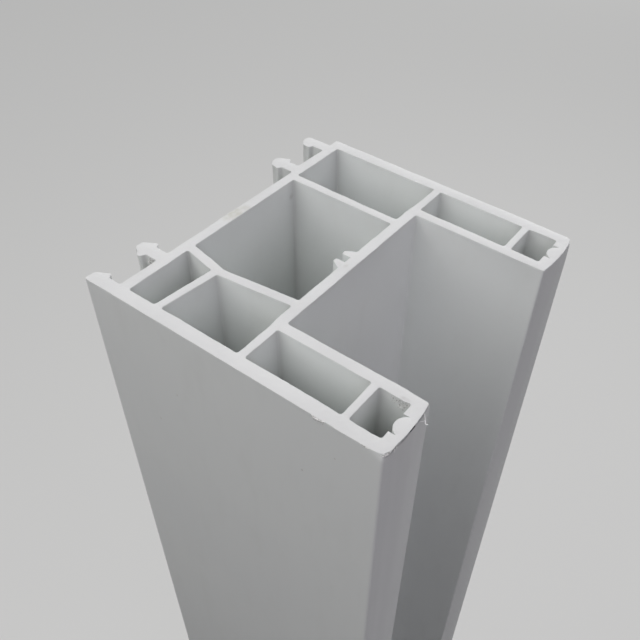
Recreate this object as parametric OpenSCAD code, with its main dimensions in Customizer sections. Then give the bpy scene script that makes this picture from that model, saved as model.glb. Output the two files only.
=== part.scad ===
// Window frame profile: a sawn length of white PVC-U extrusion with eight hollow chambers.
// The section is drawn in XY from the back face (x = 0) and the front face (y = 0),
// and the bar runs up Z from its lower sawn end.

/* [Bar] */
// Length of the sawn piece
length = 300; // [100:50:6500]
// Depth from the front face to the far face
depth = 60; // [54:0.5:90]
// Width of the hollow body, from the back face to the channel floor
body_w = 26.5; // [23:0.5:40]
// Reach of the flanges past the channel floor
flange_l = 26.3; // [20:0.1:40]
// Thickness of each flange
flange_t = 11.75; // [11:0.05:13.4]

/* [Walls] */
// Walls in the front and far faces
face_wall = 2.45; // [1.8:0.05:3]
// Back wall behind the clip hooks
back_wall = 2; // [1.4:0.1:3]
// Wall under the channel floor
floor_wall = 2; // [1.6:0.1:3]
// Flange walls beside the channel
flange_wall = 1.95; // [1.4:0.05:2.4]
// Wall at the root of each flange
root_wall = 1.5; // [1:0.1:2]
// End wall of each flange
tip_wall = 2.4; // [1.8:0.1:3]
// Webs that cross the body
body_web = 1.7; // [1.2:0.1:2.2]
// Leaning web between the two front chambers
front_web = 1.5; // [1:0.1:2]
// Web inside each flange
flange_web = 1.3; // [1:0.1:2]

/* [Chambers] */
// Front face to the middle of the kinked web, at the web's ends
kinked_web_y = 16.1; // [15.6:0.1:20]
// Back face to the kink
kink_x = 10.2; // [7:0.1:15]
// How far the kinked web dips towards the front face at its kink
kink_dip = 1.7; // [0.5:0.1:3]
// Radius of the bend on the main chamber's side of the kink
kink_r = 5; // [1:0.5:8]
// How far the front web's foot leans back from its head
front_web_lean = 1.1; // [0:0.1:3]
// Far face to the middle of the far web
far_web_y = 16; // [15.6:0.1:20]
// Length of the end chamber in each flange
tip_chamber_l = 5.4; // [4:0.1:9]
// How far the face wall hollows in the middle of the end chamber
wall_bow = 0.25; // [0:0.05:0.6]
// Radius of that hollow
bow_r = 14; // [5:1:40]

/* [Clip slots] */
// Reach of the hooks behind the back face
hook_l = 5.5; // [4.5:0.1:7]
// Thickness of the hook stems
hook_t = 2.45; // [1.8:0.05:3]
// Width of each slot between its two stems
slot_w = 7.65; // [6.5:0.05:9]
// Overhang of a barb past its stem, to the sharp corner
barb = 0.95; // [0.7:0.05:1.6]
// Length of the sloping lead-in of a barb
barb_lead = 2.5; // [1.2:0.1:2.6]
// Length of the steep back of a barb, from its crest to the stem
barb_back = 0.5; // [0.2:0.1:1.2]
// Step from the far face down to the last hook
far_step = 2.4; // [1:0.1:4]
// How far the back wall stands out behind the far chamber
back_step = 0.35; // [0:0.05:0.8]

/* [Tear-off strips] */
// Width of the strip between its two break-off notches
strip_w = 3.75; // [3:0.05:3.9]
// Radius of the strip's round rib
strip_r = 2; // [1.96:0.01:3]
// How far the rib stands into the end chamber
strip_rise = 0.15; // [0:0.05:0.5]

/* [Screw port] */
// Reach of the two claws into the main chamber
claw_l = 1.8; // [1.2:0.1:3]
// Thickness of a claw at its root
claw_root = 1.9; // [1.2:0.1:2.5]
// Thickness of a claw at its tip
claw_tip = 0.9; // [0.5:0.1:1.1]
// Radius at the root of a claw, on its outer side
claw_root_r = 0.6; // [0.2:0.1:1.8]
// Gap between the two claws
claw_gap = 1.6; // [1:0.1:2.5]

/* [Edges] */
// Radius of the flange tips at the outer faces
tip_r = 0.5; // [0.2:0.1:2.4]
// Radius of the flange tips at the channel
tip_channel_r = 0.4; // [0.3:0.1:1.5]
// Width of the flat in the middle of a flange end
tip_flat = 4.4; // [2:0.1:7]
// How far the edges of a flange end stand back from that flat
tip_lean = 0.45; // [0:0.05:1]
// Radius where a flange end starts to lean
tip_crown_r = 20; // [5:1:40]
// Radius on the other outer edges
edge_r = 0.4; // [0.1:0.05:0.6]
// Radius on the crest of each barb
barb_r = 0.4; // [0.2:0.1:0.6]
// Radius on the leading corners of each hook
hook_r = 1; // [0.2:0.1:1.2]
// Radius on the corners of the claw tips
claw_r = 0.3; // [0.1:0.05:0.5]
// Radius in the corners of the chambers
chamber_r = 0.4; // [0.1:0.05:0.8]

/* [Hidden] */
pvc_white = [0.86, 0.86, 0.85];
// Largest turn of one straight step along a rounded corner, in degrees
arc_step = 15;
// Share of an edge that the roundings at its two ends may take
edge_share = 0.49;
// Sine of the turn below which a corner counts as straight
straight = 0.001;
// Overlap of shapes that join or cut each other
lap = 0.1;
$fn = 64;

// Across the section, from the back face
tip_x = body_w + flange_l;
floor_x = body_w - floor_wall;
root_in_x = floor_x + (floor_wall - root_wall) / 2;
root_out_x = root_in_x + root_wall;
tip_chamber_x = tip_x - tip_wall - tip_chamber_l;
claw_x = floor_x - claw_l;
far_back_x = back_wall - back_step;

// Up the section, from the front face
flange_in_y = flange_t - flange_wall;
far_in_y = depth - face_wall;
far_web_near_y = depth - far_web_y - body_web / 2;
far_web_far_y = far_web_near_y + body_web;

// Each hook as its near and far side; the first is the front wall run on past the back face
hook_pitch = hook_t + slot_w;
front_hook = [0, hook_t];
second_hook = front_hook + [hook_pitch, hook_pitch];
last_hook = [depth - far_step - hook_t, depth - far_step];
third_hook = last_hook - [hook_pitch, hook_pitch];

function unit(v) = v / norm(v);

function turned(v, angle) =
    [v.x * cos(angle) - v.y * sin(angle), v.x * sin(angle) + v.y * cos(angle)];

function reversed(list) = [for (i = [len(list) - 1 : -1 : 0]) list[i]];

// The far side of a list of section points, mirrored about the middle of the depth
function across(points) = reversed([for (p = points) [p.x, depth - p.y, p.z]]);

// Points along the arc that rounds one corner, or the corner itself where there is nothing to round
function corner(before, at, after, r) =
    let (a = unit(before - at), b = unit(after - at))
    let (half = acos(a * b) / 2)
    let (room = edge_share * min(norm(before - at), norm(after - at)))
    let (reach = min(r / tan(half), room))
    let (fitted = reach * tan(half))
    let (centre = at + unit(a + b) * fitted / sin(half))
    let (sweep = sign(-cross(a, b)) * (180 - 2 * half))
    let (steps = max(1, ceil(abs(sweep) / arc_step)))
    r == 0 || abs(cross(a, b)) < straight ? [at] :
    [for (i = [0:steps]) centre + turned(at + a * reach - centre, sweep * i / steps)];

// A polygon whose points are [x, y, corner radius]
module rounded(points) {
    count = len(points);
    flat = [for (p = points) [p.x, p.y]];
    polygon([
        for (i = [0 : count - 1])
            each corner(flat[(i + count - 1) % count], flat[i], flat[(i + 1) % count], points[i].z)
    ]);
}

// One side of a hook, from its foot on the back wall to its end; the barb points along dir
function barbed_side(foot_x, y, end_x, dir) = [
    [foot_x, y, edge_r],
    [end_x + barb_lead + barb_back, y, edge_r],
    [end_x + barb_lead, y + dir * barb, barb_r],
    [end_x, y - dir * edge_r, hook_r],
];

// The near flange, from its front corner round its tip to the channel floor
flange_edge = [
    [tip_x - tip_lean, 0, tip_r],
    [tip_x, (flange_t - tip_flat) / 2, tip_crown_r],
    [tip_x, (flange_t + tip_flat) / 2, tip_crown_r],
    [tip_x - tip_lean, flange_t, tip_channel_r],
    [body_w, flange_t, edge_r],
];

// The outside of the section: front face, flanges, channel and far face, then the hooks
module outline() {
    rounded(concat(
        [[-hook_l, 0, edge_r]],
        flange_edge,
        across(flange_edge),
        [[-back_step, depth, edge_r]],
        [[-back_step, last_hook[1], 0]],
        [[-back_step - hook_l, last_hook[1], hook_r]],
        reversed(barbed_side(-back_step, last_hook[0], -back_step - hook_l, -1)),
        barbed_side(-back_step, third_hook[1], -hook_l, 1),
        reversed(barbed_side(0, third_hook[0], -hook_l, -1)),
        barbed_side(0, second_hook[1], -hook_l, 1),
        reversed(barbed_side(0, second_hook[0], -hook_l, -1)),
        barbed_side(0, front_hook[1], -hook_l, 1)
    ));
}

// Middle line of the kinked web at x
function kinked_web(x) =
    let (end_x = x < kink_x ? back_wall : floor_x)
    kinked_web_y - kink_dip * (x - end_x) / (kink_x - end_x);

function web_front_side(x) = kinked_web(x) - body_web / 2;

function web_main_side(x) = kinked_web(x) + body_web / 2;

// The floor wall of a body chamber, easing into the thinner wall at the root of the flange
floor_ease = [
    [root_in_x, flange_in_y, kink_r],
    [floor_x, flange_t + edge_r, kink_r],
];

module back_front_chamber() {
    head_x = kink_x - front_web;
    rounded([
        [back_wall, face_wall, chamber_r],
        [head_x - front_web_lean, face_wall, chamber_r],
        [head_x, web_front_side(head_x), chamber_r],
        [back_wall, web_front_side(back_wall), chamber_r],
    ]);
}

module front_chamber() {
    rounded(concat(
        [[kink_x - front_web_lean, face_wall, chamber_r]],
        [[root_in_x, face_wall, chamber_r]],
        floor_ease,
        [[floor_x, web_front_side(floor_x), chamber_r]],
        [[kink_x, web_front_side(kink_x), chamber_r]]
    ));
}

// One claw of the screw port, on the near side of the gap
module claw() {
    side_y = (depth - claw_gap) / 2;
    foot_y = side_y - 2 * claw_root;
    rounded([
        [floor_x + lap, side_y, 0],
        [claw_x, side_y, claw_r],
        [claw_x, side_y - claw_tip, claw_r],
        [floor_x, side_y - claw_root, claw_root_r],
        [floor_x, foot_y, 0],
        [floor_x + lap, foot_y, 0],
    ]);
}

module main_chamber() {
    difference() {
        rounded([
            [back_wall, web_main_side(back_wall), chamber_r],
            [kink_x, web_main_side(kink_x), kink_r],
            [floor_x, web_main_side(floor_x), chamber_r],
            [floor_x, far_web_near_y, chamber_r],
            [back_wall, far_web_near_y, chamber_r],
        ]);
        claw();
        far_side() claw();
    }
}

module far_chamber() {
    rounded(concat(
        [[far_back_x, far_web_far_y, chamber_r]],
        [[floor_x, far_web_far_y, chamber_r]],
        across(floor_ease),
        [[root_in_x, far_in_y, chamber_r]],
        [[far_back_x, far_in_y, chamber_r]]
    ));
}

// The two chambers of the near flange, with the tear-off strip in the end wall
module flange_chambers() {
    end_x = tip_x - tip_wall;
    web_x = tip_chamber_x - flange_web;
    middle_y = flange_t / 2;
    rounded([
        [root_out_x, face_wall, chamber_r],
        [web_x, face_wall, chamber_r],
        [web_x, flange_in_y, chamber_r],
        [root_out_x, flange_in_y, chamber_r],
    ]);
    difference() {
        union() {
            rounded([
                [tip_chamber_x, face_wall, chamber_r],
                [(tip_chamber_x + end_x) / 2, face_wall - wall_bow, bow_r],
                [end_x, face_wall, chamber_r],
                [end_x, flange_in_y, chamber_r],
                [tip_chamber_x, flange_in_y, chamber_r],
            ]);
            // The recess runs in until the round rib fills it, which leaves a notch on each side
            notch_d = strip_r - strip_rise - sqrt(strip_r ^ 2 - (strip_w / 2) ^ 2);
            translate([end_x - lap, middle_y - strip_w / 2]) square([notch_d + 2 * lap, strip_w]);
        }
        translate([end_x - strip_rise + strip_r, middle_y]) circle(r = strip_r);
    }
}

module far_side() {
    translate([0, depth]) mirror([0, 1]) children();
}

module frame_profile() {
    color(pvc_white)
        translate([(back_step + hook_l - tip_x) / 2, -depth / 2, 0])
            linear_extrude(length)
                difference() {
                    outline();
                    back_front_chamber();
                    front_chamber();
                    main_chamber();
                    far_chamber();
                    flange_chambers();
                    far_side() flange_chambers();
                }
}

frame_profile();
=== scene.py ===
import math
import random

import bmesh
import bpy
from mathutils import Matrix, Quaternion, Vector, geometry, noise


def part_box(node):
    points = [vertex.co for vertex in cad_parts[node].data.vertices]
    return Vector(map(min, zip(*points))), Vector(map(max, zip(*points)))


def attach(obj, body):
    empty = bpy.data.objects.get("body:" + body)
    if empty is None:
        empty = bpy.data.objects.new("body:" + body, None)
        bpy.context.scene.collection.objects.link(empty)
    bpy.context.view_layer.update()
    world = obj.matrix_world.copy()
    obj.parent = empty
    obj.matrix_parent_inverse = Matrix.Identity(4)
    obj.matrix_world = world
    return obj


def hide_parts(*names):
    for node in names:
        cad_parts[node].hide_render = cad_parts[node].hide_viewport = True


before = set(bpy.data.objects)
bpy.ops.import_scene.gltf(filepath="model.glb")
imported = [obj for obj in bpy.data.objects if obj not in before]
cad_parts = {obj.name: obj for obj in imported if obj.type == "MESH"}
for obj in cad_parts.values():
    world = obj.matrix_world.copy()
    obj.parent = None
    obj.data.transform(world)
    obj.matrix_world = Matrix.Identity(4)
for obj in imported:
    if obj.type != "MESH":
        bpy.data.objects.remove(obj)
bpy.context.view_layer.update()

mm = 0.001  # metres
barLow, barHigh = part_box("frame_profile")

hookReach = 5.85  # mm from the ends of the far hooks to the back face
backX = barLow.x + hookReach * mm
frontY = barLow.y


# section millimetres, from the back face and the front face, and how far below the upper sawn end
def onSection(x, y, below=0.0):
    return Vector((backX + x * mm, frontY + y * mm, barHigh.z - below * mm))


print("frame loaded")


def startMaterial(name):
    material = bpy.data.materials.new(name)
    material.use_nodes = True
    tree = material.node_tree
    return material, tree, tree.nodes["Principled BSDF"]


# another node's output is linked, a plain value is set
def feed(tree, socket, value):
    if isinstance(value, bpy.types.NodeSocket):
        tree.links.new(value, socket)
    else:
        socket.default_value = value


def addNode(tree, kind, settings=None, **inputs):
    node = tree.nodes.new(kind)
    for name, value in (settings or {}).items():
        setattr(node, name, value)
    for name, value in inputs.items():
        feed(tree, node.inputs[name.replace("_", " ")], value)
    return node


def objectPoint(tree, move=(0, 0, 0), stretch=(1, 1, 1), turn=(0, 0, 0)):
    spot = addNode(tree, "ShaderNodeTexCoord").outputs["Object"]
    mapping = addNode(tree, "ShaderNodeMapping", Vector=spot, Location=move, Rotation=turn, Scale=stretch)
    return mapping.outputs["Vector"]


def noiseAt(tree, point, scale, detail=2.0, roughness=0.5):
    grain = addNode(tree, "ShaderNodeTexNoise", Vector=point, Scale=scale, Detail=detail, Roughness=roughness)
    return grain.outputs["Fac"]


def spread(tree, value, low, high, toLow, toHigh):
    node = addNode(tree, "ShaderNodeMapRange", {"interpolation_type": "SMOOTHSTEP"}, Value=value,
                   From_Min=low, From_Max=high, To_Min=toLow, To_Max=toHigh)
    return node.outputs["Result"]


mixSockets = {"share": 0, "first": 6, "second": 7, "result": 2}  # of a mix node set to colours


def blendColour(tree, share, first, second):
    node = addNode(tree, "ShaderNodeMix", {"data_type": "RGBA"})
    feed(tree, node.inputs[mixSockets["share"]], share)
    feed(tree, node.inputs[mixSockets["first"]], first)
    feed(tree, node.inputs[mixSockets["second"]], second)
    return node.outputs[mixSockets["result"]]


def calculate(tree, operation, *values):
    node = addNode(tree, "ShaderNodeMath", {"operation": operation})
    for socket, value in zip(node.inputs, values):
        feed(tree, socket, value)
    return node.outputs[0]


def addBump(tree, shader, height, finish):
    bump = addNode(tree, "ShaderNodeBump", Height=height, Strength=finish["bumpStrength"],
                   Distance=finish["bumpDepth"])
    tree.links.new(bump.outputs["Normal"], shader.inputs["Normal"])


smudgeAndShadow = {
    "breaksPerMetre": 900.0,  # fine noise that breaks each smudge and painted shadow up
    "breakLimits": (0.3, 0.7),
    "breakShare": (0.4, 1.0),  # how much of the smudge is left at those limits
    "core": 0.25,  # share of its reach that has its full strength
}

skin = {
    "white": (0.863, 0.889, 0.876, 1),
    "coolWhite": (0.846, 0.871, 0.864, 1),
    "cloudsPerMetre": 28.0,  # patches of the two whites
    "cloudLimits": (0.3, 0.7),
    "smear": (0.833, 0.857, 0.843, 1),
    "smearsPerMetre": (170.0, 170.0, 60.0),  # each way
    "smearLimits": (0.48, 0.75),
    "smearShare": 0.8,
    "roughness": (0.5, 0.62),
    "gloss": 0.3,
    "linesPerMetre": 900.0,  # die lines across the bar
    "lineStretch": 0.012,  # how much slower they change along it
    "lineLimits": (0.25, 0.75),
    "grainsPerMetre": 4200.0,
    "grainShare": 0.25,  # height of the grain as a share of the lines'
    "bumpStrength": 0.6,
    "bumpDepth": 0.000012,  # metres
    # dust and painted shade for the hollow corners
    "cornerDustAndShade": (0.42, 0.42, 0.41, 1),
    "cornerShare": 0.4,  # how much of the dust and painted shade shows right in a hollow corner
    "marks": (  # smudges and painted shadows: section place and depth, half sizes in mm, colour and strength
        {"at": (38.6, 0.0, 14.6), "size": (0.3, 0.2, 0.35), "colour": (0.50, 0.49, 0.46, 1), "strength": 0.5},
        {"at": (12.1, 0.0, 16.1), "size": (0.3, 0.2, 0.4), "colour": (0.55, 0.54, 0.50, 1), "strength": 0.45},
        {"at": (6.2, 0.0, 26.5), "size": (0.35, 0.2, 0.4), "colour": (0.55, 0.54, 0.50, 1), "strength": 0.45},
        {"at": (44.6, 0.0, 6.8), "size": (0.25, 0.2, 0.3), "colour": (0.50, 0.49, 0.46, 1), "strength": 0.45},
        # painted shadow under the burr fringe at the near tip's corner
        {"at": (52.4, 1.5, 0.5), "size": (0.9, 1.6, 0.6), "colour": (0.36, 0.36, 0.37, 1), "strength": 0.95},
        # painted shadow just under the near end's rim
        {"at": (52.7, 4.4, 0.25), "size": (0.8, 3.4, 0.7), "colour": (0.40, 0.41, 0.42, 1), "strength": 1.1},
        {"at": (52.7, 9.4, 0.25), "size": (0.8, 3.4, 0.7), "colour": (0.40, 0.41, 0.42, 1), "strength": 1.1},
        {"at": (49.0, 9.8, 1.0), "size": (1.2, 0.4, 1.0), "colour": (0.55, 0.55, 0.54, 1), "strength": 0.35},
        {"at": (2.0, 42.3, 3.4), "size": (0.6, 0.8, 1.1), "colour": (0.50, 0.50, 0.48, 1), "strength": 0.45},
        # painted shadow under the torn flake on the front rim
        {"at": (42.0, 0.0, 0.5), "size": (0.9, 0.5, 0.25), "colour": (0.45, 0.44, 0.42, 1), "strength": 0.55},
        # painted shadow in the crack under the near end's rim
        {"at": (52.8, 6.4, 0.16), "size": (0.7, 1.4, 0.4), "colour": (0.02, 0.02, 0.02, 1), "strength": 1.8},
    ),
}


# colour with small smudges and painted shadows laid over it, each broken up by fine noise
def smudgedAndShaded(tree, tint, marks):
    breaks = noiseAt(tree, objectPoint(tree), smudgeAndShadow["breaksPerMetre"])
    broken = spread(tree, breaks, *smudgeAndShadow["breakLimits"], *smudgeAndShadow["breakShare"])
    for mark in marks:
        size = [1 / (half * mm) for half in mark["size"]]
        move = [-place * scale for place, scale in zip(onSection(*mark["at"]), size)]
        spot = objectPoint(tree, move, size)
        reach = addNode(tree, "ShaderNodeVectorMath", {"operation": "LENGTH"}, Vector=spot).outputs["Value"]
        near = spread(tree, reach, smudgeAndShadow["core"], 1.0, mark["strength"], 0.0)
        tint = blendColour(tree, calculate(tree, "MULTIPLY", near, broken), tint, mark["colour"])
    return tint


# satin face that the die leaves, with faint lines along the bar
def extrudedSkin():
    material, tree, shader = startMaterial("extrudedSkin")
    point = objectPoint(tree)
    along = objectPoint(tree, stretch=(1, 1, skin["lineStretch"]))
    lines = noiseAt(tree, along, skin["linesPerMetre"], detail=3.0, roughness=0.6)
    clouds = noiseAt(tree, point, skin["cloudsPerMetre"])
    grain = noiseAt(tree, point, skin["grainsPerMetre"])
    cloudy = spread(tree, clouds, *skin["cloudLimits"], 0.0, 1.0)
    tint = blendColour(tree, cloudy, skin["white"], skin["coolWhite"])
    smears = noiseAt(tree, objectPoint(tree, stretch=skin["smearsPerMetre"]), 1.0, detail=3.0, roughness=0.6)
    smeared = spread(tree, smears, *skin["smearLimits"], 0.0, skin["smearShare"])
    tint = blendColour(tree, smeared, tint, skin["smear"])
    # dust and painted shade in the hollow corners, which the bar's points carry
    corner = addNode(tree, "ShaderNodeAttribute", {"attribute_name": "corner"}).outputs["Fac"]
    dustAndShade = calculate(tree, "MULTIPLY", corner, skin["cornerShare"])
    tint = blendColour(tree, dustAndShade, tint, skin["cornerDustAndShade"])
    tree.links.new(smudgedAndShaded(tree, tint, skin["marks"]), shader.inputs["Base Color"])
    tree.links.new(spread(tree, lines, *skin["lineLimits"], *skin["roughness"]), shader.inputs["Roughness"])
    shader.inputs["Specular IOR Level"].default_value = skin["gloss"]
    height = calculate(tree, "MULTIPLY_ADD", grain, skin["grainShare"], lines)
    addBump(tree, shader, height, skin)
    return material


sawn = {
    "white": (0.79, 0.80, 0.80, 1),
    "shade": (0.745, 0.755, 0.755, 1),
    "patchesPerMetre": 90.0,  # of the shade
    "patchLimits": (0.35, 0.75),
    "roughness": (0.62, 0.78),
    "grainsPerMetre": 2600.0,
    "grainLimits": (0.3, 0.7),
    "grainShare": 0.5,  # height of the grain as a share of the saw lines'
    "sawLineScale": 260.0,  # about 830 lines in a metre
    "sawLineTurn": 0.6,  # radians
    "sawLineWander": 3.0,
    "bumpStrength": 0.5,
    "bumpDepth": 0.00003,  # metres
    "marks": (  # stains, in the same way as on the skin
        {"at": (1.0, 27.8, 0.0), "size": (2.2, 3.4, 1.0), "colour": (0.60, 0.60, 0.53, 1), "strength": 0.75},
        {"at": (1.4, 30.6, 0.0), "size": (1.4, 1.3, 1.0), "colour": (0.62, 0.62, 0.58, 1), "strength": 0.6},
        {"at": (25.3, 28.4, 0.0), "size": (0.5, 0.8, 0.6), "colour": (0.58, 0.58, 0.56, 1), "strength": 0.45},
        {"at": (49.2, 10.1, 0.0), "size": (1.2, 0.5, 0.4), "colour": (0.58, 0.58, 0.57, 1), "strength": 0.6},
    ),
}


# matt face that the saw leaves
def sawnFace():
    material, tree, shader = startMaterial("sawnFace")
    point = objectPoint(tree)
    turned = objectPoint(tree, turn=(0, 0, sawn["sawLineTurn"]))
    sawLines = addNode(tree, "ShaderNodeTexWave", {"wave_type": "BANDS"}, Vector=turned,
                       Distortion=sawn["sawLineWander"], Scale=sawn["sawLineScale"],
                       Detail=3.0, Detail_Scale=0.7).outputs["Fac"]
    grain = noiseAt(tree, point, sawn["grainsPerMetre"], detail=3.0, roughness=0.6)
    patches = noiseAt(tree, point, sawn["patchesPerMetre"], detail=3.0)
    patchy = spread(tree, patches, *sawn["patchLimits"], 0.0, 1.0)
    tint = blendColour(tree, patchy, sawn["white"], sawn["shade"])
    tree.links.new(smudgedAndShaded(tree, tint, sawn["marks"]), shader.inputs["Base Color"])
    tree.links.new(spread(tree, grain, *sawn["grainLimits"], *sawn["roughness"]), shader.inputs["Roughness"])
    height = calculate(tree, "MULTIPLY_ADD", grain, sawn["grainShare"], sawLines)
    addBump(tree, shader, height, sawn)
    return material


swarf = {
    "white": (0.84, 0.84, 0.83, 1),
    "grey": (0.42, 0.42, 0.41, 1),
    "spotsPerMetre": 3600.0,  # of grey dust
    "spotLimits": (0.42, 0.62),
    "roughness": 0.7,
}


# torn plastic with a little dust on it
def tornPlastic():
    material, tree, shader = startMaterial("tornPlastic")
    spots = noiseAt(tree, objectPoint(tree), swarf["spotsPerMetre"])
    dusty = spread(tree, spots, *swarf["spotLimits"], 0.0, 1.0)
    tint = blendColour(tree, dusty, swarf["white"], swarf["grey"])
    tree.links.new(tint, shader.inputs["Base Color"])
    shader.inputs["Roughness"].default_value = swarf["roughness"]
    return material


materials = {"skin": extrudedSkin(), "sawn": sawnFace(), "swarf": tornPlastic()}
print("materials made")


def addObject(name, bm, *finishes):
    mesh = bpy.data.meshes.new(name)
    bm.to_mesh(mesh)
    bm.free()
    for finish in finishes:
        mesh.materials.append(finish)
    made = bpy.data.objects.new(name, mesh)
    bpy.context.scene.collection.objects.link(made)
    return made


bar = {
    "mergeWithin": 0.0005,  # mm between points that are one
    "capFacing": 0.9,  # least upward share of a normal on the sawn end
    "levelWithin": 0.000001,  # mm between the heights of a level edge's ends
    "step": 0.3,  # mm between points along the sawn rims
    "rows": (0.035, 0.12, 0.25, 0.45, 0.8, 1.6, 4.0, 15.0, 60.0),  # mm in from each sawn end
    "rimRadius": 0.12,  # mm
    "wave": (0.11, 230.0),  # long waver of the saw cut: mm, turns in a metre
    "fray": (0.04, 1100.0),  # fine raggedness, in the same way
    "raggedTo": 0.7,  # mm in from the end where the rim runs true again
    "widest": 1.6,  # how far a sharp corner is pushed at most, as a share of a straight wall
    "leastTurn": 0.01,  # share of a square corner below which the section counts as straight
    "fainterCorners": (  # parts of the section where less dust and painted shade stay: the open channel, the screw port's claws
        {"from": (26.0, 11.0), "to": (54.0, 49.0), "dustAndShade": 0.2},
        {"from": (22.0, 25.0), "to": (25.0, 35.0), "dustAndShade": 0.0},
    ),
    "dustAndShadeReach": 1.0,  # mm over which the dust and painted shade in a hollow corner thin out
    "lumps": (  # burrs and knocks on the upper rim: where, how wide, how far out and how far down, in mm
        {"at": (41.6, 0.0), "wide": 0.7, "out": 0.08, "down": 0.3},
        {"at": (50.6, 0.0), "wide": 1.4, "out": -0.1, "down": 0.4},
        {"at": (44.8, 0.0), "wide": 1.3, "out": 0.07, "down": 0.4},
        {"at": (52.5, 1.6), "wide": 0.5, "out": 0.12, "down": 0.35},
        {"at": (49.3, 9.8), "wide": 0.5, "out": 0.18, "down": 0.5},
        {"at": (47.6, 9.8), "wide": 1.6, "out": 0.16, "down": 0.5},
        {"at": (52.2, 0.2), "wide": 0.9, "out": -0.32, "down": 0.6},
        {"at": (52.4, 12.2), "wide": 0.7, "out": -0.22, "down": 0.6},
        {"at": (-3.5, 9.5), "wide": 0.6, "out": 0.28, "down": 0.8},
        {"at": (-4.6, 44.75), "wide": 0.75, "out": 0.4, "down": 0.7},
        {"at": (-4.6, 54.85), "wide": 0.75, "out": 0.45, "down": 0.7},
        {"at": (50.6, 11.75), "wide": 2.2, "out": -0.15, "down": 0.6},
        {"at": (52.3, 59.8), "wide": 0.9, "out": -0.25, "down": 1.2},
        {"at": (49.8, 60.0), "wide": 2.0, "out": -0.18, "down": 0.8},
        {"at": (45.2, 60.0), "wide": 0.9, "out": -0.12, "down": 0.5},
    ),
    "sharpAngle": 28,  # degrees between faces that meet in a hard edge
}


# how far the saw's rounding of the rim lies back from the wall
def rimInset(depth):
    radius = bar["rimRadius"]
    if depth >= radius:
        return 0.0
    return radius - math.sqrt(radius ** 2 - (radius - depth) ** 2)


# how far the rough cut pushes the rim out of the true section
def sawRagged(point, depth):
    waver, slow = bar["wave"]
    fray, fast = bar["fray"]
    push = waver * noise.noise(point * slow) + fray * noise.noise(point * fast)
    push *= max(0.0, 1 - depth / bar["raggedTo"]) ** 2
    if point.z > (barLow.z + barHigh.z) / 2:
        for lump in bar["lumps"]:
            away = (point.xy - onSection(*lump["at"]).xy).length / (lump["wide"] * mm)
            push += lump["out"] * math.exp(-away ** 2 - (depth / lump["down"]) ** 2)
    return push


# the way out of the plastic at a point of a rim
def outwardAt(vert):
    facing = Vector((0, 0, 0))
    for edge in vert.link_edges:
        if edge.is_boundary:
            side = (edge.verts[1].co - edge.verts[0].co).cross(Vector((0, 0, 1))).normalized()
            middle = (edge.verts[0].co + edge.verts[1].co) / 2
            inward = edge.link_faces[0].calc_center_median() - middle
            facing += side if side.dot(inward) < 0 else -side
    half = max(facing.length / 2, 1 / bar["widest"])
    return facing.normalized() / half


# how far the section turns in at a hollow corner, as a share of a square one
def hollowTurn(vert, facing):
    sides = [edge.other_vert(vert).co - vert.co for edge in vert.link_edges if edge.is_boundary]
    if (sides[0].normalized() + sides[1].normalized()).dot(facing) <= 0:
        return 0.0
    return 2 - sides[0].angle(sides[1]) / math.radians(90)


# share of its dust and painted shade that a corner keeps
def dustAndShadeHeld(point):
    for part in bar["fainterCorners"]:
        low, high = onSection(*part["from"]), onSection(*part["to"])
        if low.x < point.x < high.x and low.y < point.y < high.y:
            return part["dustAndShade"]
    return 1.0


# how much of a corner's dust and painted shade lies this far from it: less further off, and none through the
# wall
def dustAndShadeShare(away, facing):
    sameSide = 1 + min(0.0, away.normalized().dot(facing))
    return sameSide ** 2 * math.exp(-away.length / (bar["dustAndShadeReach"] * mm))


def isVert(part):
    return isinstance(part, bmesh.types.BMVert)


def isLevel(edge):
    return abs(edge.verts[0].co.z - edge.verts[1].co.z) < bar["levelWithin"] * mm


# mm in from the nearer sawn end
def depthAt(height):
    return min(barHigh.z - height, height - barLow.z) / mm


def mergeClose(bm):
    bmesh.ops.remove_doubles(bm, verts=bm.verts, dist=bar["mergeWithin"] * mm)


# the upper sawn end alone, with close points along its rims
def takeSawnEnd(bm):
    bm.from_mesh(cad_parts["frame_profile"].data)
    mergeClose(bm)
    lower = [face for face in bm.faces
             if face.normal.z < bar["capFacing"] or face.calc_center_median().z < barHigh.z - mm]
    bmesh.ops.delete(bm, geom=lower, context="FACES")
    groups = {}  # edges by the number of cuts that they get
    for edge in bm.edges:
        if edge.is_boundary:
            groups.setdefault(int(edge.calc_length() / (bar["step"] * mm)), []).append(edge)
    for cuts, edges in groups.items():
        if cuts:
            bmesh.ops.subdivide_edges(bm, edges=edges, cuts=cuts)


# each point of a rim gets the way it faces and the dust and painted shade that lie there
def markRims(bm, outward, corner):
    rimPoints = [vert for vert in bm.verts if vert.is_boundary]
    turns = []
    for vert in rimPoints:
        vert[outward] = outwardAt(vert)
        turn = hollowTurn(vert, vert[outward])
        if turn > bar["leastTurn"]:
            turns.append((vert.co.copy(), turn * dustAndShadeHeld(vert.co)))
    for vert in rimPoints:
        facing = vert[outward].normalized()
        vert[corner] = min(1.0, sum(turn * dustAndShadeShare(spot - vert.co, facing) for spot, turn in turns))


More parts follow.
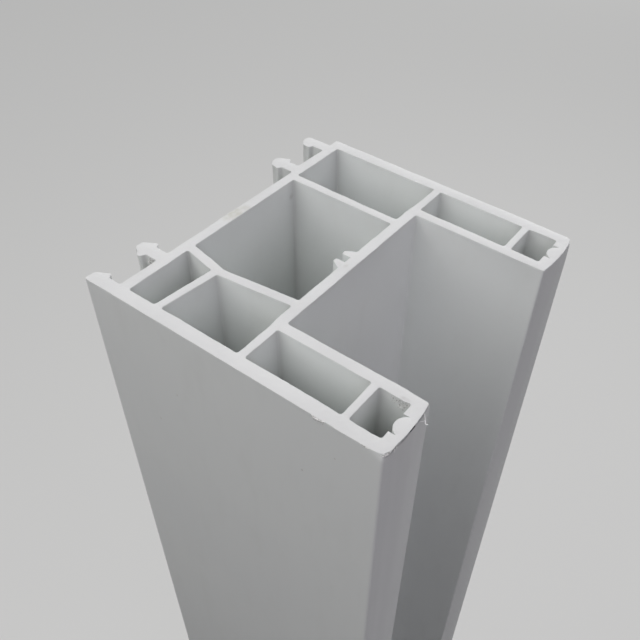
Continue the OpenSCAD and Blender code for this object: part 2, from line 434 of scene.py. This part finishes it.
# walls from the upper rims down to a copy of the sawn end
def growWalls(bm):
    lowerCap = bmesh.ops.duplicate(bm, geom=bm.faces[:])["geom"]
    length = barHigh.z - barLow.z
    bmesh.ops.translate(bm, verts=[part for part in lowerCap if isVert(part)], vec=(0, 0, -length))
    bmesh.ops.reverse_faces(bm, faces=[part for part in lowerCap if isinstance(part, bmesh.types.BMFace)])
    rim = [edge for edge in bm.edges if edge.is_boundary and edge.verts[0].co.z > barLow.z + length / 2]
    heights = [barHigh.z - row * mm for row in bar["rows"]]
    heights += [barLow.z + row * mm for row in reversed((0, *bar["rows"]))]
    for height in heights:
        grown = bmesh.ops.extrude_edge_only(bm, edges=rim)["geom"]
        for vert in filter(isVert, grown):
            vert.co.z = height
        rim = [part for part in grown if isinstance(part, bmesh.types.BMEdge) and isLevel(part)]
    mergeClose(bm)
    bmesh.ops.recalc_face_normals(bm, faces=bm.faces)


# the bar drawn again from its own section, with points close enough to carry the saw's rough edge
def drawBar():
    bm = bmesh.new()
    takeSawnEnd(bm)
    outward = bm.verts.layers.float_vector.new("outward")
    corner = bm.verts.layers.float.new("corner")
    markRims(bm, outward, corner)
    growWalls(bm)
    for face in bm.faces:
        face.smooth = True
        face.material_index = int(depthAt(face.calc_center_median().z) < bar["rows"][0])
    for vert in bm.verts:
        depth = depthAt(vert.co.z)
        push = sawRagged(vert.co, depth) - rimInset(depth)
        vert.co += vert[outward] * push * mm
    piece = addObject("sawnBar", bm, materials["skin"], materials["sawn"])
    piece.data.set_sharp_from_angle(angle=math.radians(bar["sharpAngle"]))
    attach(piece, "root")
    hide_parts("frame_profile")
    return piece


sawnBar = drawBar()
print("bar drawn:", len(sawnBar.data.polygons), "faces")

crumbs = {
    "seed": 5,
    "standsOut": 0.3,  # share of a crumb's size that its middle stands out of the wall
    "jitter": (0.55, 1.2),  # how far its points are pulled in or out
    "flatness": (0.5, 1.0),  # its other two sides as shares of the first
    "endBias": 0.6,  # below 1, more crumbs lie near the end of a stretch
    "rimBias": 1.6,  # over 1, more lie near the top of it
    "places": (  # a stretch of wall, the way it faces, depths and sizes in mm
        {"from": (47.0, 9.8), "to": (50.0, 9.8), "facing": (0, -1),
         "below": (0.2, 2.1), "size": (0.06, 0.16), "count": 85},
        {"from": (52.0, 0.15), "to": (52.75, 2.9), "facing": (0.9, -0.4),
         "below": (0.15, 0.75), "size": (0.07, 0.16), "count": 22},
        {"from": (52.62, 2.0), "to": (52.64, 2.1), "facing": (1, -0.2),
         "below": (0.5, 0.55), "size": (0.16, 0.18), "count": 1},
        {"from": (40.4, 0.0), "to": (42.6, 0.0), "facing": (0, -1),
         "below": (0.25, 0.75), "size": (0.06, 0.13), "count": 9},
        {"from": (48.8, 0.0), "to": (50.2, 0.0), "facing": (0, -1),
         "below": (0.15, 0.5), "size": (0.05, 0.09), "count": 4},
        {"from": (41.2, 9.8), "to": (43.5, 9.8), "facing": (0, -1),
         "below": (0.4, 0.7), "size": (0.07, 0.12), "count": 3},
        {"from": (-2.2, 10.1), "to": (-0.8, 10.1), "facing": (0, -1),
         "below": (0.4, 1.4), "size": (0.18, 0.36), "count": 8},
    ),
}


def dropCrumb(bm, dice, place):
    along = dice.random() ** crumbs["endBias"]
    start, end = onSection(*place["from"]), onSection(*place["to"])
    size = dice.uniform(*place["size"]) * mm
    low, high = place["below"]
    spot = start.lerp(end, along)
    spot.z -= (low + (high - low) * dice.random() ** crumbs["rimBias"]) * mm
    spot += Vector((*place["facing"], 0)).normalized() * size * crumbs["standsOut"]
    turn = Quaternion((dice.random(), dice.random(), dice.random()), dice.uniform(0, math.pi))
    flat = Matrix.Diagonal((1.0, dice.uniform(*crumbs["flatness"]), dice.uniform(*crumbs["flatness"]), 1.0))
    where = Matrix.Translation(spot) @ turn.to_matrix().to_4x4() @ flat
    for vert in bmesh.ops.create_icosphere(bm, subdivisions=1, radius=size, matrix=where)["verts"]:
        vert.co = spot.lerp(vert.co, dice.uniform(*crumbs["jitter"]))


# torn bits that the saw left just under the upper rim
def drawCrumbs():
    dice = random.Random(crumbs["seed"])
    bm = bmesh.new()
    for place in crumbs["places"]:
        for each in range(place["count"]):
            dropCrumb(bm, dice, place)
    bmesh.ops.recalc_face_normals(bm, faces=bm.faces)
    return bm


# thin strip through pairs of points
def drawStrip(bm, pairs):
    edge = bm.edges.new([bm.verts.new(point) for point in pairs[0]])
    for last, pair in zip(pairs, pairs[1:]):
        grown = bmesh.ops.extrude_edge_only(bm, edges=[edge])["geom"]
        edge = next(part for part in grown if isinstance(part, bmesh.types.BMEdge))
        for vert in edge.verts:
            first = (vert.co - last[0]).length < (vert.co - last[1]).length
            vert.co = pair[0] if first else pair[1]


def thickened(bm, thick):
    bmesh.ops.recalc_face_normals(bm, faces=bm.faces)
    bmesh.ops.solidify(bm, geom=bm.faces[:], thickness=thick * mm)
    return bm


burr = {
    "thick": 0.05,  # mm
    "seat": 0.06,  # mm that a strip's root is sunk in the wall
    "spacing": 0.11,  # mm between points along a strip
    "fray": 1700.0,  # turns in a metre of the coarse raggedness
    "finer": 3,  # times as many in the fine one
    "ragged": {"mean": 0.5, "coarse": 0.6, "fine": 0.3},  # shares of a strip's full size
    "strips": (  # stretches of rim that a torn lip hangs from, how far it hangs down and stands out, in mm
        {"rim": ((40.4, 0.0), (42.9, 0.0)), "hang": (0.04, 0.22), "out": (0.12, 0.48)},
        {"rim": ((48.6, 0.0), (50.2, 0.0)), "hang": (0.05, 0.22), "out": (0.02, 0.08)},
        {"rim": ((51.7, 0.0), (52.25, 0.15), (52.5, 1.0), (52.65, 2.7)),
         "hang": (0.08, 0.45), "out": (0.02, 0.2)},
    ),
}


# points along a stretch of rim, each with the way out of the bar
def lipRoute(rim):
    stops = [onSection(*stop) for stop in rim]
    route = []
    for start, end in zip(stops, stops[1:]):
        count = max(1, round((end - start).length / (burr["spacing"] * mm)))
        aside = (end - start).cross(Vector((0, 0, 1))).normalized()
        route += [(start.lerp(end, number / count), aside) for number in range(count)]
    return route


def lipRagged(spot):
    share = burr["ragged"]
    rough = spot * burr["fray"]
    return (share["mean"] + share["coarse"] * noise.noise(rough)
            + share["fine"] * noise.noise(rough * burr["finer"]))


# ragged lip that the saw pushed over the rim
def drawBurr():
    bm = bmesh.new()
    for strip in burr["strips"]:
        route = lipRoute(strip["rim"])
        pairs = []
        for number, (spot, aside) in enumerate(route):
            ragged = lipRagged(spot)
            taper = math.sin(math.pi * (number + 0.5) / len(route))
            limits = strip["hang"], strip["out"]
            hang, out = [(low + (high - low) * ragged) * taper * mm for low, high in limits]
            root = spot - aside * burr["seat"] * mm - Vector((0, 0, burr["seat"] * mm))
            pairs.append((root, spot + aside * out - Vector((0, 0, hang))))
        drawStrip(bm, pairs)
    return thickened(bm, burr["thick"])


hair = {
    "thick": 0.04,  # mm
    "steps": 7,  # points along each strand
    "strands": (  # bends on the section and below the sawn end, the way each lies flat, widths in mm
        {"bends": ((52.6, 9.7, 0.3), (53.0, 9.4, 0.4), (53.05, 9.35, 0.9), (53.5, 8.69, 0.9)),
         "across": (0.85, 0.52, 0.0), "wide": (0.08, 0.17)},
        {"bends": ((53.47, 8.7, 0.9), (53.55, 8.7, 0.95), (53.68, 8.77, 0.95), (53.84, 8.86, 0.92)),
         "across": (-0.42, 0.9, 0.0), "wide": (0.2, 0.19)},
        {"bends": ((52.7, 8.25, 0.7), (52.95, 8.5, 0.75), (53.05, 8.8, 0.8), (53.12, 9.15, 0.85)),
         "across": (0.9, -0.42, 0.0), "wide": (0.07, 0.07)},
    ),
}


# strands of swarf still hanging from the near flange's end
def drawHair():
    bm = bmesh.new()
    for strand in hair["strands"]:
        route = geometry.interpolate_bezier(*[onSection(*bend) for bend in strand["bends"]], hair["steps"])
        start, end = strand["wide"]
        pairs = []
        for number, point in enumerate(route):
            wide = start + (end - start) * number / (len(route) - 1)
            half = Vector(strand["across"]) * wide * mm / 2
            pairs.append((point - half, point + half))
        drawStrip(bm, pairs)
    return thickened(bm, hair["thick"])


def addSwarf(name, bm, finish):
    piece = addObject(name, bm, materials[finish])
    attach(piece, "root")
    print(name, "made:", len(piece.data.polygons), "faces")


addSwarf("sawCrumbs", drawCrumbs(), "swarf")
addSwarf("sawBurr", drawBurr(), "swarf")
addSwarf("swarfHair", drawHair(), "sawn")

stage = {
    "floorColour": (0.70, 0.70, 0.695, 1),  # as the camera sees it
    "floorGlow": 0.62,  # share of it that no lamp has to light
    "floorBounce": (0.2, 0.2, 0.2, 1),  # what it throws back at the bar
    "floorSize": 6.0,  # metres
    "worldColour": (0.62, 0.62, 0.62, 1),
    "worldLight": 0.03,  # how much of it lights the bar
    "lampSize": 0.45,  # metres, as are the places of the lamps
    "lampAim": (0.0, 0.0, 0.28),
    "lamps": (
        {"name": "backSoft", "at": (0.0, 0.389, 0.689), "power": 1.92, "colour": (1.0, 1.0, 1.0)},
        {"name": "leftSoft", "at": (-0.113, -0.196, 0.526), "power": 0.85, "colour": (1.0, 0.985, 0.978)},
        {"name": "rightSoft", "at": (0.448, -0.163, 0.575), "power": 0.625, "colour": (0.955, 0.885, 1.0)},
        {"name": "lowRightSoft", "at": (1.5, -0.6, 0.26), "power": 0.91, "colour": (1.0, 0.985, 0.985)},
        {"name": "lowFrontSoft", "at": (1.2, -1.1, 0.26), "power": 0.28, "colour": (1.0, 1.0, 1.0)},
        {"name": "behindSoft", "at": (-0.6, 1.9, 0.26), "power": 11.0, "colour": (1.0, 1.0, 1.0)},
    ),
}


# 1 where a surface is looked at, straight on or in a reflection, and 0 where it only lights others
def lookedAt(tree):
    path = addNode(tree, "ShaderNodeLightPath").outputs
    seen = calculate(tree, "MAXIMUM", path["Is Camera Ray"], path["Is Glossy Ray"])
    return calculate(tree, "MAXIMUM", seen, path["Is Transmission Ray"])


def mixShaders(tree, share, first, second):
    node = addNode(tree, "ShaderNodeMixShader", Fac=share)
    tree.links.new(first.outputs[0], node.inputs[1])
    tree.links.new(second.outputs[0], node.inputs[2])
    return node


def paleFloor():
    material, tree, shader = startMaterial("paleFloor")
    tree.nodes.remove(shader)
    lit = addNode(tree, "ShaderNodeBsdfDiffuse", Color=stage["floorColour"])
    glow = addNode(tree, "ShaderNodeEmission", Color=stage["floorColour"], Strength=1.0)
    bounce = addNode(tree, "ShaderNodeBsdfDiffuse", Color=stage["floorBounce"])
    seen = mixShaders(tree, stage["floorGlow"], lit, glow)
    final = mixShaders(tree, lookedAt(tree), bounce, seen)
    tree.links.new(final.outputs[0], tree.nodes["Material Output"].inputs["Surface"])
    return material


def layFloor():
    bm = bmesh.new()
    bmesh.ops.create_grid(bm, x_segments=1, y_segments=1, size=stage["floorSize"] / 2)
    floor = addObject("floor", bm, paleFloor())


def hangLamp(lamp):
    light = bpy.data.lights.new(lamp["name"], "AREA")
    light.size = stage["lampSize"]
    light.energy = lamp["power"]
    light.color = lamp["colour"]
    holder = bpy.data.objects.new(lamp["name"], light)
    holder.location = lamp["at"]
    aim = Vector(stage["lampAim"]) - Vector(lamp["at"])
    holder.rotation_euler = aim.to_track_quat("-Z", "Y").to_euler()
    holder.visible_camera = False
    bpy.context.scene.collection.objects.link(holder)


def makeWorld():
    world = bpy.data.worlds.new("studio")
    world.use_nodes = True
    tree = world.node_tree
    background = tree.nodes["Background"]
    background.inputs["Color"].default_value = stage["worldColour"]
    strength = spread(tree, lookedAt(tree), 0.0, 1.0, stage["worldLight"], 1.0)
    tree.links.new(strength, background.inputs["Strength"])
    bpy.context.scene.world = world


layFloor()
for lamp in stage["lamps"]:
    hangLamp(lamp)
makeWorld()
print("stage set")

camera = {
    "eye": (57.35, -80.17, 378.45),  # mm, as is the aim
    "aim": (15.03, -12.0, 300.0),
    "roll": 4.34,  # degrees
    "lens": 41.6,
    "shift": (-0.086, 0.023),
    "near": 5,  # mm from the eye to where the view starts
}


def placeCamera():
    data = bpy.data.cameras.new("photoView")
    data.lens = camera["lens"]
    data.shift_x, data.shift_y = camera["shift"]
    data.clip_start = camera["near"] * mm
    holder = bpy.data.objects.new("photoView", data)
    eye = Vector(camera["eye"]) * mm
    aim = Vector(camera["aim"]) * mm - eye
    level = aim.to_track_quat("-Z", "Y")
    holder.rotation_euler = (level @ Quaternion((0, 0, 1), math.radians(camera["roll"]))).to_euler()
    holder.location = eye
    bpy.context.scene.collection.objects.link(holder)
    bpy.context.scene.camera = holder


placeCamera()
bpy.context.scene.view_settings.view_transform = "Standard"
print("camera placed")
